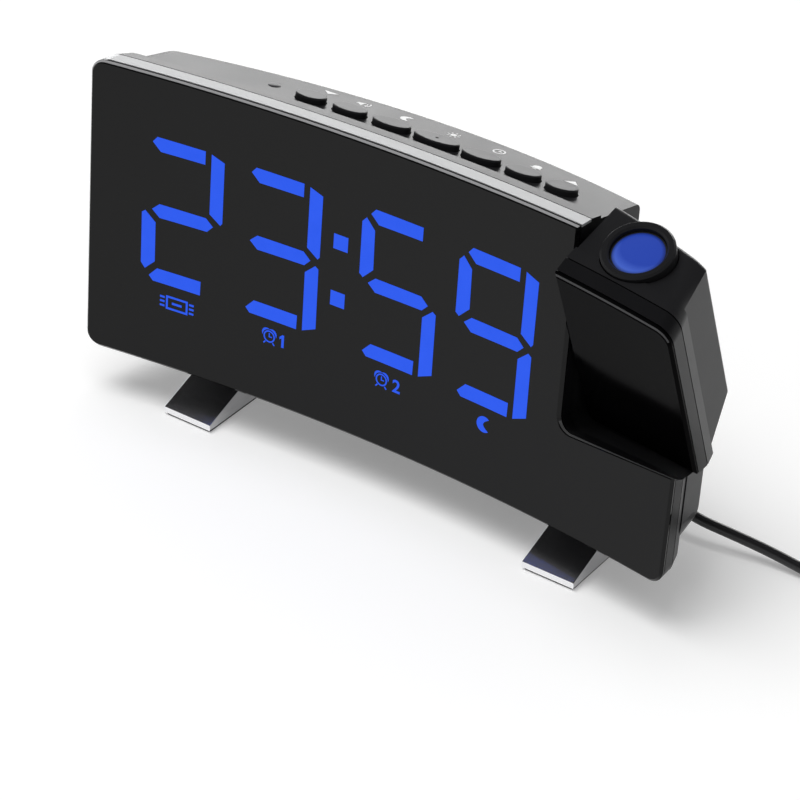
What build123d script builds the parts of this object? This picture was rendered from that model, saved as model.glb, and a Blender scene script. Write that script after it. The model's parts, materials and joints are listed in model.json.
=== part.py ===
from build123d import *
from math import cos, pi, radians, sin, sqrt, tan
import os

os.makedirs("parts", exist_ok=True)

# Sizes in millimetres, angles in degrees. Most places are given on the leaning housing:
# u runs to the right, w up along the front and d backwards, square to the front.

# Front and layers behind it. Depths of layers are counted along the curve's own radius.
lean = 5.0
base_y = -16.4
base_z = 16.6
face_radius = 615.0
half_width = 108.6
face_height = 98.0
edge_chamfer = 1.0
outline_radius = 5.0
panel_thickness = 1.5
frame_front = 1.9
frame_back = 6.7
rim_front = 7.1
rim_back = 11.9
frame_side_draft = 0.66
rim_side_draft = 1.55
rim_top_draft = 0.8
groove_sink = 0.8
frame_wall = 2.4
web_thickness = 1.6
trim_thickness = 0.8
trim_wrap = 5.5

# Raised back of the casing.
back_side_step = 1.3
back_top = face_height + 0.6
back_bottom = 0.3
back_draft = 8.9
back_depth = 39.5
back_sag = 25.15
back_radius = (half_width**2 + back_sag**2) / (2 * back_sag)
back_top_corner = 11.5
back_bottom_corner = 14.0
back_edge_radius = 2.6
head_top_corner = 3.0
head_edge_radius = 2.0
head_back_depth = 36.8
head_back_sag = 19.15
head_back_radius = (half_width**2 + head_back_sag**2) / (2 * head_back_sag)
head_side_step = 2.7
heel_w = 31.8
heel_slope = 0.44
casing_wall = 2.0

# Notch for the projector, and the projector housing in it.
pivot_w = 63.5
pivot_d = 9.5
notch_left = 65.7
scoop_radius = 33.3
notch_corner = 5.0
side_gap = 1.5
scoop_gap = 0.7
projector_tilt = 25.3

# Focus ring and optics, on an axis along w.
optics_u = 84.7
optics_d = 13.5
ring_radius = 10.85
ring_top = 100.0
ring_seat = 92.3
ring_gap = 0.3
ring_bore = 8.3
ring_chamfer = 0.6
well_wall = 1.0
well_floor = 1.6
carrier_gap = 0.15
carrier_wall = 1.0
carrier_top = 98.2
carrier_bottom = 91.6
lens_thickness = 3.0
lens_crown = 0.9
tube_radius = 8.1
tube_wall = 1.2
tube_flange = 10.6
tube_flange_thickness = 1.5
tube_bottom = 52.0
condenser_rise = 10.0
condenser_thickness = 4.0
slide_rise = 6.0
slide_thickness = 1.2
lamp_board_thickness = 1.6
lamp_size = 4.0
lamp_height = 1.4

# Pivot.
shaft_radius = 4.5
shaft_bore = 3.0
bushing_radius = 5.5
running_gap = 0.05
bushing_flange_radius = 9.0
bushing_flange = 1.0
bushing_inside = 1.6
clip_radius = 6.2
clip_thickness = 1.2
shaft_flange_radius = 5.7
shaft_flange = 1.8

# Buttons, in one row on the top of the back.
key_row = 19.4
key_half_depth = 4.0
key_height = 1.95
key_edge = 0.5
key_gap = 0.25
key_travel = 0.6
tab_thickness = 1.0
tab_reach = 1.1
tab_gap = 0.12
plunger_radius = 1.6
switch_size = 4.5
switch_height = 3.5
actuator_radius = 1.7
actuator_height = 1.0
key_board_drop = 9.0
key_board_thickness = 1.6
key_board_u = (-65.0, 58.6)
key_board_v = (-4.0, 7.0)
key_board_points = [(-54.6, 2.4), (55.2, 2.4)]
keys = [
    ("down_button", -44.5, 5.2),
    ("volume_button", -30.5, 5.9),
    ("sleep_button", -15.4, 6.6),
    ("snooze_button", 0.9, 7.9),
    ("set_button", 17.1, 6.6),
    ("alarm_button", 32.4, 5.9),
    ("up_button", 46.3, 5.2),
]
sensor_u = -59.3
sensor_row = 21.9
sensor_hole = 2.0
sensor_radius = 1.7
sensor_sink = 0.9

# Display: digits are placed by their right-hand edges.
digit_edges = [-60.4, -24.8, 18.5, 54.0]
digit_base = 28.8
colon_u = -17.5
colon_width = 5.2
colon_height = 5.0
colon_rows = [44.2, 63.4]
segments = {
    "top": [(-25.8, 47.9), (-24.2, 49.8), (-6.9, 49.8), (-6.9, 45.3), (-22.8, 45.1)],
    "upper_right": [(-4.7, 49.4), (0, 47.7), (0, 27.2), (-0.7, 26.3), (-4.7, 29.1)],
    "middle": [(-25.4, 24.9), (-22.8, 27.2), (-5.9, 27.3), (-3.3, 25.0), (-5.4, 22.8), (-22.6, 22.5)],
    "lower_left": [(-29, 22.9), (-27.8, 23.8), (-24, 20.5), (-23.9, 6.9), (-27.4, 3.6), (-28.9, 5.4)],
    "bottom": [(-25.9, 1.6), (-23, 4.7), (-7, 4.8), (-7.1, 0), (-24.4, 0)],
    "upper_left": [
        (-28.8, 44.5), (-27.3, 46.2), (-24.1, 42.8), (-23.8, 29.7), (-27.4, 26.1), (-28.7, 27.1)
    ],
    "lower_right": [(-5, 20.6), (-1.4, 23.8), (-0.2, 23), (0, 2.5), (-4.9, 0.4)],
}
window_u = (-99.6, 56.7)
window_w = (8.0, 90.0)
housing_u = (-94.0, 55.5)
housing_w = (17.0, face_height - 14.0)
diffuser_depth = 1.5
board_plane = 12.0
board_thickness = 1.6
display_board_u = (-95.5, 56.0)
display_board_w = (5.8, 92.6)
display_posts = [(-92.0, 7.6), (-92.0, 89.4), (52.4, 7.6), (52.4, 89.4)]
lamp_chip = 1.6
glue_gap = 0.1

# Screws and the bosses that take them.
screw_radius = 1.5
screw_head = 2.7
screw_head_height = 1.8
recess_width = 0.7
recess_depth = 0.9
small_screw = 1.0
small_head = 1.9
small_head_height = 1.2
thread_gap = 0.05
clearance_gap = 0.2
post_radius = 3.0
boss_radius = 4.0
boss_floor = 3.0
boss_plane = 4.5
thread_depth = 5.0
small_length = 5.6
projector_points = [(75.5, 43.0), (97.0, 45.0), (98.6, 84.0)]
casing_edge_inset = 8.7
casing_points = [
    (casing_edge_inset - half_width, 20.0),
    (casing_edge_inset - half_width, 76.0),
    (notch_left - 5.7, pivot_w + 12.5),
    (72.0, 12.0),
    (96.0, 14.0),
]

# Main board with the sockets in the back.
main_board_u = (-36.0, 57.0)
main_board_w = (7.0, 54.0)
main_board_posts = [(-32.0, 12.0), (-32.0, 50.0), (53.0, 50.0), (53.0, 27.0)]
socket_row = 12.0
charge_u = 22.0
charge_width = 14.6
charge_height = 7.0
charge_wall = 0.5
tongue_thickness = 1.9
supply_u = 48.0
supply_body = (9.4, 8.8)
supply_bore = 2.8
supply_pin = 1.0
supply_recess_radius = 6.4
supply_face = 33.5
main_board_d = supply_face - 10.5
nose_radius = 4.0
dimmer_u = 36.0
dimmer_slot = (8.4, 2.6)
dimmer_knob = (3.2, 2.1)
dimmer_body = (11.0, 5.6, 5.0)
knob_proud = 1.0
knob_gap = 0.25

# Battery compartment and speaker.
tray_u = (-25.6, 5.6)
tray_room_u = (-21.0, 1.0)
tray_room_w = (8.5, 33.5)
tray_top = 38.0
tray_floor = 26.6
tray_wall = 1.6
door_u = (-23.0, 3.0)
door_top = 35.5
door_gap = 0.2
door_flare = 0.8
door_rib = 0.5
grip_grooves = 5
grip_start = 4.0
grip_pitch = 1.6
cell_radius = 10.0
cell_thickness = 3.2
cell_w = 22.0
contact_thickness = 0.4
speaker_u = -58.0
speaker_w = 50.0
speaker_radius = 18.0
speaker_face = 22.4
basket_depth = 4.2
flange_thickness = 1.0
magnet_radius = 9.0
magnet_depth = 3.6
seat_ledge = 1.5
seat_wall = 1.6
seat_gap = 0.3
seat_lip = 2.0
cone_thickness = 0.5
grille_slot = 1.8
grille_pitch = 4.0
grille_radius = 15.0
grille_rows = 3
vent_columns = 12
vent_pitch = 6.0
vent_size = (2.0, 12.0)
vent_row = 76.0

# Feet.
foot_inset = 39.8
foot_width = 18.6
foot_reach = 7.4
foot_lip = 2.9
foot_seat_start = 15.0
foot_seat_length = 11.0
foot_slope = 20.3
foot_toe = 3.0
foot_edge = 0.4
foot_screw_seat = 5.0
pad_thickness = 0.8
pad_inset = 0.5
seat_inset = 0.8

# Cord.
cord_radius = 1.7
plug_radius = 5.2
plug_length = 9.5
plug_arm = 3.3
plug_arm_length = 19.0
plug_arm_angle = 25.0
barrel_radius = 2.75
barrel_bore = 1.05
barrel_length = 8.5
plug_floor = 1.0
plug_edge = 1.2
plug_arm_taper = 3.0
coil_centre = (156.0, 45.4)
coil_radius = 19.0
coil_turns_across = 3
coil_turns_high = 3
tie_thickness = 0.8
tie_width = 9.0
tie_place = 60.0
far_plug = (26.0, 14.6, 7.6)
far_shell = (12.0, 12.0, 4.5)
shell_wall = 0.4
far_gap = 1.0
far_start = 31.0
cord_straight = 12.0
cord_route = [
    (91.4, 20.2, 7.9),
    (104.7, 21.8, 6.2),
    (117.0, 23.6, 4.1),
    (130.0, 23.8, 2.3),
    (143.0, 23.2, 1.7),
    (156.0, 26.4, 1.7),
]
tail_route = [
    (141.6, 29.6, 6.6),
    (153.5, 21.0, 8.3),
    (162.0, 16.1, 5.6),
    (170.2, 11.3, 2.4),
    (181.7, 13.3, 1.9),
    (189.2, 22.3, 2.9),
]


class Housing:
    """Planes of one housing, turned as a whole about the pivot axis."""

    def __init__(self, tilt):
        square = Plane.XZ.rotated((-lean, 0, 0)).location.orientation
        front = Plane(Location((0, base_y, base_z), square))
        pivot = front.from_local_coords(Vector(0, pivot_w, -pivot_d))
        turn = Pos(pivot) * Rot(tilt, 0, 0) * Pos(-pivot)
        self.front = Plane(turn * front.location)
        self.across = self.front.x_dir
        self.up = self.front.y_dir
        self.back = -self.front.z_dir

    def point(self, u, w, d):
        return self.front.from_local_coords(Vector(u, w, -d))

    def facing(self, d):
        """Plane (u, w) at depth d, facing the viewer."""
        return self.front.offset(-d)

    def plan(self, w):
        """Plane (u, d) at height w, facing up."""
        return Plane(self.point(0, w, 0), x_dir=self.across, z_dir=self.up)

    def side(self, u):
        """Plane (d, w) at u, facing right."""
        return Plane(self.point(u, 0, 0), x_dir=self.back, z_dir=self.across)

    def curve_section(self):
        """Plane through the axis of the front's curve, (radius, w)."""
        return Plane(self.point(0, 0, -face_radius), x_dir=self.back, z_dir=self.across)


body = Housing(0)
head = Housing(projector_tilt)
far = 40.0
outline_bottom = -edge_chamfer
outline_top = face_height + edge_chamfer


def depth_on_curve(u, layer_depth):
    """Depth d at u of a surface that lies layer_depth behind the hollow front."""
    return sqrt((face_radius + layer_depth) ** 2 - u**2) - face_radius


def side_at(layer_depth):
    seam = (frame_back + rim_front) / 2
    if layer_depth < seam:
        return half_width - frame_side_draft * layer_depth / seam
    return half_width - frame_side_draft - rim_side_draft * (layer_depth - seam) / (rim_back - seam)


def drop_at(layer_depth):
    seam = (frame_back + rim_front) / 2
    return max(0, rim_top_draft * (layer_depth - seam) / (rim_back - seam))


def layer(housing, front, back, inset=0.0, corner=outline_radius):
    """Curved slab between two layer depths, inside the outline of the housing."""
    profile = []
    sides = []
    for depth in (front, back):
        shrink = drop_at(depth) + inset
        profile.append((-face_radius - depth, outline_bottom + shrink))
        profile.append((-face_radius - depth, outline_top - shrink))
        half = side_at(depth) - inset
        sides.append((half, depth_on_curve(half, depth)))
    profile[2], profile[3] = profile[3], profile[2]
    crown = (0, sides[1][1] + far)
    left = [(-u, d) for u, d in reversed(sides)]
    middle = (outline_bottom + outline_top) / 2
    with BuildPart() as slab:
        with BuildSketch(housing.curve_section()):
            Polygon(*profile, align=None)
        revolve(axis=Axis(housing.point(0, 0, -face_radius), housing.up))
        with BuildSketch(housing.plan(outline_bottom - 1)):
            Polygon(*sides, crown, *left, align=None)
        extrude(amount=outline_top - outline_bottom + 2, mode=Mode.INTERSECT)
        if corner > 0:
            corners = []
            for edge in slab.edges():
                spot = housing.front.to_local_coords(edge.center())
                if abs(spot.X) > half_width - inset - 4 and abs(spot.Y - middle) > middle - inset - 4:
                    corners.append(edge)
            fillet(corners, radius=max(corner - inset, 1.0))
    return slab.part


def raised_back(housing, inset, corner, edge, depth, radius, step):
    """Drafted block behind the rim, closed by the large curve of the back."""
    half = half_width - step - inset
    rear = depth - inset
    reach = half_width + 8
    overlap = 1.0 if inset == 0 else casing_wall + 2
    front_side = depth_on_curve(reach, rim_back - overlap)
    rear_radius = radius - inset
    rear_side = rear - rear_radius + sqrt(rear_radius**2 - reach**2)
    with BuildPart() as block:
        with BuildSketch(housing.front) as outline:
            Polygon(
                (-half, back_bottom + inset),
                (half, back_bottom + inset),
                (half, back_top - inset),
                (-half, back_top - inset),
                align=None,
            )
            fillet(outline.vertices().group_by(Axis.Y)[-1], radius=corner - inset)
            fillet(outline.vertices().group_by(Axis.Y)[0], radius=back_bottom_corner - inset)
        extrude(amount=-(back_depth + 3), taper=back_draft)
        with BuildSketch(housing.plan(outline_bottom - 1)):
            with BuildLine():
                ThreePointArc((-reach, front_side), (0, rim_back - overlap), (reach, front_side))
                Line((reach, front_side), (reach, rear_side))
                ThreePointArc((reach, rear_side), (0, rear), (-reach, rear_side))
                Line((-reach, rear_side), (-reach, front_side))
            make_face()
        extrude(amount=outline_top - outline_bottom + 2, mode=Mode.INTERSECT)
        rear_face = block.faces().sort_by(Axis(housing.point(0, 0, 0), housing.back))[-1]
        fillet(rear_face.edges(), radius=max(edge - inset, 0.6))
    return block.part


def rear_rim(housing, inset=0.0):
    """Rim of a rear half, as the outside or, with an inset, as the cavity."""
    front = rim_front if inset == 0 else frame_back - 1
    back = rim_back if inset == 0 else rim_back - casing_wall
    return layer(housing, front, back, inset and frame_wall)


def body_back(inset=0.0):
    return raised_back(
        body, inset, back_top_corner, back_edge_radius, back_depth, back_radius, back_side_step
    )


def body_block(inset=0.0):
    """Rear half of the clock, as the outside or, with an inset, as the cavity."""
    with BuildPart() as block:
        add(rear_rim(body, inset))
        add(body_back(inset))
    return block.part


def heel(wall):
    """Space under the sloping heel of the projector's shell, or above its inner wall."""
    rise = heel_slope * far
    with BuildPart() as space:
        with BuildSketch(head.side(notch_left - 1)):
            Polygon(
                (-far, -far),
                (-far, heel_w + wall - rise),
                (far, heel_w + wall + rise),
                (far, -far),
                align=None,
            )
        extrude(amount=far + half_width - notch_left)
    return space.part


def head_block(inset=0.0):
    """Rear half of the projector's housing, as the outside or, with an inset, as the cavity."""
    with BuildPart() as block:
        add(
            raised_back(
                head, inset, head_top_corner, head_edge_radius, head_back_depth, head_back_radius, head_side_step
            )
        )
        add(heel(inset), mode=Mode.SUBTRACT)
        add(rear_rim(head, inset))
    return block.part


def trough(housing, left, radius, corner):
    """Space right of u = left and above a half cylinder about the pivot."""
    with BuildPart() as space:
        with BuildSketch(housing.side(left)):
            with BuildLine():
                ThreePointArc(
                    (pivot_d - radius, pivot_w),
                    (pivot_d, pivot_w - radius),
                    (pivot_d + radius, pivot_w),
                )
                Line((pivot_d + radius, pivot_w), (pivot_d + radius, pivot_w + 2 * far))
                Line((pivot_d + radius, pivot_w + 2 * far), (pivot_d - radius, pivot_w + 2 * far))
                Line((pivot_d - radius, pivot_w + 2 * far), (pivot_d - radius, pivot_w))
            make_face()
        extrude(amount=half_width + far - left)
        lip = space.faces().sort_by(Axis(housing.point(0, 0, 0), housing.across))[0].edges()
        highest = lip.sort_by(Axis(housing.point(0, 0, 0), housing.up))[-1]
        fillet([edge for edge in lip if edge != highest], radius=corner)
    return space.part


def slab(housing, u, w, d):
    """Flat block between two values each of u, w and d."""
    with BuildPart() as block:
        with BuildSketch(housing.facing(d[0])):
            Polygon((u[0], w[0]), (u[1], w[0]), (u[1], w[1]), (u[0], w[1]), align=None)
        extrude(amount=-(d[1] - d[0]))
    return block.part


def rods(plane, points, radius, length):
    """Round bars that start on a plane; a negative length runs against its normal."""
    with BuildPart() as bars:
        with BuildSketch(plane):
            with Locations(*points):
                Circle(radius)
        extrude(amount=length)
    return bars.part


def screws(plane, points, radius, head, head_height, length):
    """Pan-head screws: heads stand on the plane, shanks run the other way."""
    side = 1 if length > 0 else -1
    with BuildPart() as group:
        with BuildSketch(plane):
            with Locations(*points):
                Circle(head)
        extrude(amount=side * head_height)
        with BuildSketch(plane):
            with Locations(*points):
                Circle(radius)
        extrude(amount=-length)
        with BuildSketch(plane.offset(side * head_height)):
            with Locations(*points):
                Rectangle(head * 1.2, recess_width)
                Rectangle(recess_width, head * 1.2)
        extrude(amount=-side * recess_depth, mode=Mode.SUBTRACT)
    return group.part


def save(part, name):
    part.label = name
    export_step(part, f"parts/{name}.step")


body_notch = trough(body, notch_left, scoop_radius, notch_corner)
body_notch_wall = trough(
    body, notch_left - casing_wall, scoop_radius + casing_wall, notch_corner + casing_wall
)
head_left = notch_left + side_gap
head_radius = scoop_radius - scoop_gap
head_space = trough(head, head_left, head_radius, notch_corner - scoop_gap)
head_room = trough(
    head, head_left + casing_wall, head_radius - casing_wall, notch_corner - scoop_gap - casing_wall
)
print("forms ready")

# ---- front of the clock ----

with BuildPart() as display_panel:
    add(layer(body, 0, panel_thickness))
    add(body_notch, mode=Mode.SUBTRACT)
    panel_face = display_panel.faces().sort_by(SortBy.AREA)[-2:].sort_by(Axis.Y)[0]
    chamfer(panel_face.edges(), length=edge_chamfer)
save(display_panel.part, "display_panel")

with BuildPart() as top_trim:
    add(layer(body, frame_front, frame_back))
    add(layer(body, frame_front - 1, frame_back + 1, trim_thickness), mode=Mode.SUBTRACT)
    add(body_notch, mode=Mode.SUBTRACT)
    add(
        slab(body, (-far - half_width, far + half_width), (-far, outline_top - trim_wrap), (-far, far)),
        mode=Mode.SUBTRACT,
    )
save(top_trim.part, "top_trim")

web_back = panel_thickness + web_thickness
with BuildPart() as frame_inside:
    add(layer(body, web_back, rim_front + 1, frame_wall))
    add(
        trough(body, notch_left - frame_wall, scoop_radius + frame_wall, notch_corner + frame_wall),
        mode=Mode.SUBTRACT,
    )

web_middle = panel_thickness + web_thickness / 2
with BuildPart() as frame_posts:
    add(rods(body.facing(board_plane), display_posts, post_radius, far))
    add(rods(body.facing(boss_plane), casing_points, post_radius + 0.4, far))
    add(layer(body, web_middle, board_plane + rim_back, groove_sink, corner=0), mode=Mode.INTERSECT)

with BuildPart() as front_frame:
    add(layer(body, frame_front, frame_back))
    add(layer(body, panel_thickness, rim_front, groove_sink))
    add(frame_inside.part, mode=Mode.SUBTRACT)
    add(slab(body, window_u, window_w, (-far, far)), mode=Mode.SUBTRACT)
    add(frame_posts.part)
    add(
        rods(body.facing(board_plane), display_posts, small_screw + thread_gap, thread_depth),
        mode=Mode.SUBTRACT,
    )
    add(
        rods(body.facing(boss_plane), casing_points, screw_radius + thread_gap, thread_depth),
        mode=Mode.SUBTRACT,
    )
    add(top_trim.part, mode=Mode.SUBTRACT)
    add(body_notch, mode=Mode.SUBTRACT)
save(front_frame.part, "front_frame")

# ---- display ----

with BuildSketch(body.facing(board_plane)) as marks:
    for right in digit_edges:
        for outline in segments.values():
            Polygon(*[(right + x, digit_base + y) for x, y in outline], align=None)
    with Locations(*[(colon_u, row) for row in colon_rows]):
        Rectangle(colon_width, colon_height)

with BuildPart() as light_pockets:
    extrude(marks.sketch, amount=board_plane + rim_back)

with BuildPart() as digit_housing:
    add(slab(body, housing_u, housing_w, (-far, board_plane)))
    add(
        layer(body, panel_thickness + glue_gap, board_plane + 2 * rim_back, frame_wall, corner=0),
        mode=Mode.INTERSECT,
    )
    add(light_pockets.part, mode=Mode.SUBTRACT)
save(digit_housing.part, "digit_housing")

with BuildPart() as digit_diffusers:
    add(light_pockets.part)
    add(
        layer(body, panel_thickness + glue_gap, panel_thickness + glue_gap + diffuser_depth, frame_wall),
        mode=Mode.INTERSECT,
    )
save(digit_diffusers.part, "digit_diffusers")

with BuildPart() as segment_lamps:
    with BuildSketch(body.facing(board_plane)):
        with Locations(*[tuple(mark.center())[:2] for mark in marks.faces()]):
            Rectangle(lamp_chip, lamp_chip)
    extrude(amount=lamp_chip / 2)
save(segment_lamps.part, "segment_lamps")

display_board_back = board_plane + board_thickness
with BuildPart() as display_board:
    add(slab(body, display_board_u, display_board_w, (board_plane, display_board_back)))
    add(rods(body.facing(0), display_posts, small_screw + clearance_gap, -far), mode=Mode.SUBTRACT)
save(display_board.part, "display_board")

display_screws = screws(
    body.facing(display_board_back),
    display_posts,
    small_screw,
    small_head,
    small_head_height,
    -small_length,
)
save(display_screws, "display_screws")
print("display ready")

# ---- buttons ----

key_slope = tan(radians(back_draft))
key_normal = body.up * cos(radians(back_draft)) + body.back * sin(radians(back_draft))
key_plane = Plane(
    body.point(0, back_top - key_slope * key_row, key_row), x_dir=body.across, z_dir=key_normal
)
key_board_plane = key_plane.offset(-key_board_drop)


def key_spot(u, row=key_row):
    return (u, (depth_on_curve(u, row) - key_row) / cos(radians(back_draft)))


key_spots = [key_spot(u) for name, u, half_length in keys]
sensor_spot = key_spot(sensor_u, sensor_row)
plunger_end = key_board_drop - switch_height - actuator_height - key_travel - thread_gap
tab_top = casing_wall + tab_gap

for name, u, half_length in keys:
    with BuildPart() as key:
        with BuildSketch(key_plane.offset(key_height)):
            with Locations(key_spot(u)):
                Ellipse(half_length, key_half_depth)
        extrude(amount=-(key_height + tab_top + tab_thickness))
        fillet(key.edges().sort_by(Axis(key_plane.origin, key_normal))[-1], radius=key_edge)
        with BuildSketch(key_plane.offset(-tab_top)):
            with Locations(key_spot(u)):
                Rectangle(half_length, 2 * (key_half_depth + tab_reach))
        extrude(amount=-tab_thickness)
        with BuildSketch(key_plane.offset(-tab_top - tab_thickness)):
            with Locations(key_spot(u)):
                Circle(plunger_radius)
        extrude(amount=-(plunger_end - tab_top - tab_thickness))
    save(key.part, name)

with BuildPart() as key_switches:
    with BuildSketch(key_board_plane):
        with Locations(*key_spots):
            Rectangle(switch_size, switch_size)
    extrude(amount=switch_height)
    with BuildSketch(key_board_plane.offset(switch_height)):
        with Locations(*key_spots):
            Circle(actuator_radius)
    extrude(amount=actuator_height)
save(key_switches.part, "key_switches")

with BuildPart() as key_board:
    with BuildSketch(key_board_plane):
        Polygon(
            (key_board_u[0], key_board_v[0]),
            (key_board_u[1], key_board_v[0]),
            (key_board_u[1], key_board_v[1]),
            (key_board_u[0], key_board_v[1]),
            align=None,
        )
        with Locations(*key_board_points):
            Circle(small_screw + clearance_gap, mode=Mode.SUBTRACT)
    extrude(amount=-key_board_thickness)
save(key_board.part, "key_board")

key_board_screws = screws(
    key_board_plane.offset(-key_board_thickness),
    key_board_points,
    small_screw,
    small_head,
    small_head_height,
    -small_length,
)
save(key_board_screws, "key_board_screws")

light_sensor = rods(key_board_plane, [sensor_spot], sensor_radius, key_board_drop - sensor_sink)
save(light_sensor, "light_sensor")
print("buttons ready")

# ---- rear casing ----


def rear_depth(u, inset=0.0):
    return back_depth - back_radius + sqrt((back_radius - inset) ** 2 - u**2)


def rear_skin(thickness, u, top, flare):
    """Part of the back wall between two values of u, wider inside by the flare on each side."""
    low, high = u
    with BuildPart() as skin:
        with BuildSketch(body.plan(outline_bottom - 1)):
            with BuildLine():
                inner = (low - flare, rear_depth(low - flare, thickness))
                outer = (high + flare, rear_depth(high + flare, thickness))
                middle = (low + high) / 2
                ThreePointArc(inner, (middle, rear_depth(middle, thickness)), outer)
                Polyline(
                    outer,
                    (high, outer[1] + thickness),
                    (high, far + thickness),
                    (low, far + thickness),
                    (low, inner[1] + thickness),
                    inner,
                )
            make_face()
        extrude(amount=top - outline_bottom + 1)
    return skin.part


foot_u = half_width - foot_inset
foot_front = base_y - foot_reach
foot_seat_front = base_y + foot_seat_start
foot_seat_back = foot_seat_front + foot_seat_length
foot_slope_rise = tan(radians(foot_slope)) * (foot_seat_front - foot_front)
foot_seat = foot_lip + foot_slope_rise
foot_points = [(side * foot_u, (foot_seat_front + foot_seat_back) / 2) for side in (-1, 1)]

with BuildPart() as casing_outside:
    add(body_block())
    with BuildSketch(Plane.XY.offset(foot_seat)):
        with Locations(*foot_points):
            Rectangle(foot_width - 2 * seat_inset, foot_seat_back - foot_seat_front - seat_inset)
    extrude(amount=base_z + boss_plane - foot_seat)

with BuildPart() as casing_room:
    add(body_block(casing_wall))
    add(body_notch_wall, mode=Mode.SUBTRACT)

main_board_back = main_board_d + board_thickness
main_board_rest = body.facing(main_board_back)
speaker_spot = [(speaker_u, speaker_w)]
supply_spot = [(supply_u, socket_row)]
pivot_spot = [(pivot_d, pivot_w)]
with BuildPart() as casing_bosses:
    add(rods(body.facing(boss_plane), casing_points, boss_radius, -far))
    add(rods(main_board_rest, main_board_posts, post_radius, -far))
    add(rods(key_board_plane, key_board_points, post_radius, far))
    add(rods(body.facing(supply_face - casing_wall), supply_spot, supply_recess_radius + seat_wall, -far))
    add(slab(body, tray_u, (outline_bottom, tray_top), (tray_floor - tray_wall, far)))
    seat_radius = speaker_radius + seat_gap
    add(rods(body.facing(speaker_face - seat_lip), speaker_spot, seat_radius + seat_wall, -far))
    add(rods(body.facing(0), speaker_spot, seat_radius, -speaker_face), mode=Mode.SUBTRACT)
    add(rods(body.facing(0), speaker_spot, speaker_radius - seat_ledge, -far), mode=Mode.SUBTRACT)
    add(body_block(), mode=Mode.INTERSECT)

with BuildPart() as wall_cuts:
    for name, u, half_length in keys:
        with BuildSketch(key_plane.offset(-far / 8)):
            with Locations(key_spot(u)):
                Ellipse(half_length + key_gap, key_half_depth + key_gap)
        extrude(amount=far / 4)
    add(rods(key_plane.offset(-far / 8), [sensor_spot], sensor_hole, far / 4))
    with BuildSketch(body.facing(rear_depth(speaker_u) - far / 4)):
        for row in range(-grille_rows, grille_rows + 1):
            slot_half = sqrt(grille_radius**2 - (row * grille_pitch) ** 2)
            with Locations((speaker_u, speaker_w + row * grille_pitch)):
                SlotOverall(2 * slot_half, grille_slot)
    extrude(amount=-far)
    with BuildSketch(body.facing(main_board_d + far / 4)):
        with Locations((0, vent_row)):
            with GridLocations(vent_pitch, 1, vent_columns, 1):
                SlotOverall(vent_size[1], vent_size[0], rotation=90)
        with Locations((charge_u, socket_row)):
            Rectangle(charge_width + 2 * knob_gap, charge_height + 2 * knob_gap)
        with Locations((dimmer_u, socket_row)):
            Rectangle(*dimmer_slot)
    extrude(amount=-far)

with BuildPart() as rear_casing:
    add(casing_outside.part)
    add(casing_room.part, mode=Mode.SUBTRACT)
    add(casing_bosses.part)
    add(wall_cuts.part, mode=Mode.SUBTRACT)
    add(rear_skin(casing_wall, door_u, door_top, door_flare), mode=Mode.SUBTRACT)
    add(slab(body, tray_room_u, tray_room_w, (tray_floor, far)), mode=Mode.SUBTRACT)
    add(rods(body.facing(supply_face), supply_spot, supply_recess_radius, -far), mode=Mode.SUBTRACT)
    add(rods(body.facing(supply_face - casing_wall), supply_spot, nose_radius, -far), mode=Mode.SUBTRACT)
    add(
        rods(body.facing(boss_plane), casing_points, screw_radius + clearance_gap, -far),
        mode=Mode.SUBTRACT,
    )
    add(
        rods(body.facing(boss_plane + boss_floor), casing_points, screw_head + clearance_gap, -far),
        mode=Mode.SUBTRACT,
    )
    small_hole = small_screw + thread_gap
    add(rods(main_board_rest, main_board_posts, small_hole, -thread_depth), mode=Mode.SUBTRACT)
    add(rods(key_board_plane, key_board_points, small_hole, thread_depth), mode=Mode.SUBTRACT)
    add(
        rods(Plane.XY.offset(foot_seat), foot_points, screw_radius + thread_gap, thread_depth),
        mode=Mode.SUBTRACT,
    )
    add(
        rods(body.side(notch_left), pivot_spot, bushing_radius, -2 * casing_wall),
        mode=Mode.SUBTRACT,
    )
    add(body_notch, mode=Mode.SUBTRACT)
save(rear_casing.part, "rear_casing")
print("rear casing ready", len(rear_casing.part.solids()))

casing_screws = screws(
    body.facing(boss_plane + boss_floor),
    casing_points,
    screw_radius,
    screw_head,
    screw_head_height,
    -(boss_floor + thread_depth - 0.5),
)
save(casing_screws, "casing_screws")

# ---- main board, sockets and switch ----

with BuildPart() as main_board:
    add(slab(body, main_board_u, main_board_w, (main_board_d, main_board_back)))
    add(rods(body.facing(0), main_board_posts, small_screw + clearance_gap, -far), mode=Mode.SUBTRACT)
save(main_board.part, "main_board")

main_board_screws = screws(
    body.facing(main_board_d), main_board_posts, small_screw, small_head, small_head_height, small_length
)
save(main_board_screws, "main_board_screws")


def around(middle, size):
    return (middle - size / 2, middle + size / 2)


charge_end = rear_depth(charge_u + charge_width / 2) - thread_gap
charge_span = around(charge_u, charge_width)
charge_rows = around(socket_row, charge_height)
with BuildPart() as charge_socket:
    add(slab(body, charge_span, charge_rows, (main_board_back, charge_end)))
    add(
        slab(
            body,
            around(charge_u, charge_width - 2 * charge_wall),
            around(socket_row, charge_height - 2 * charge_wall),
            (main_board_back + board_thickness, far),
        ),
        mode=Mode.SUBTRACT,
    )
save(charge_socket.part, "charge_socket")

tongue_top = charge_rows[1] - 3 * charge_wall
charge_tongue = slab(
    body,
    around(charge_u, charge_width - 6 * charge_wall),
    (tongue_top - tongue_thickness, tongue_top),
    (main_board_back + board_thickness, charge_end - 2 * charge_wall),
)
save(charge_tongue, "charge_tongue")

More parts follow.
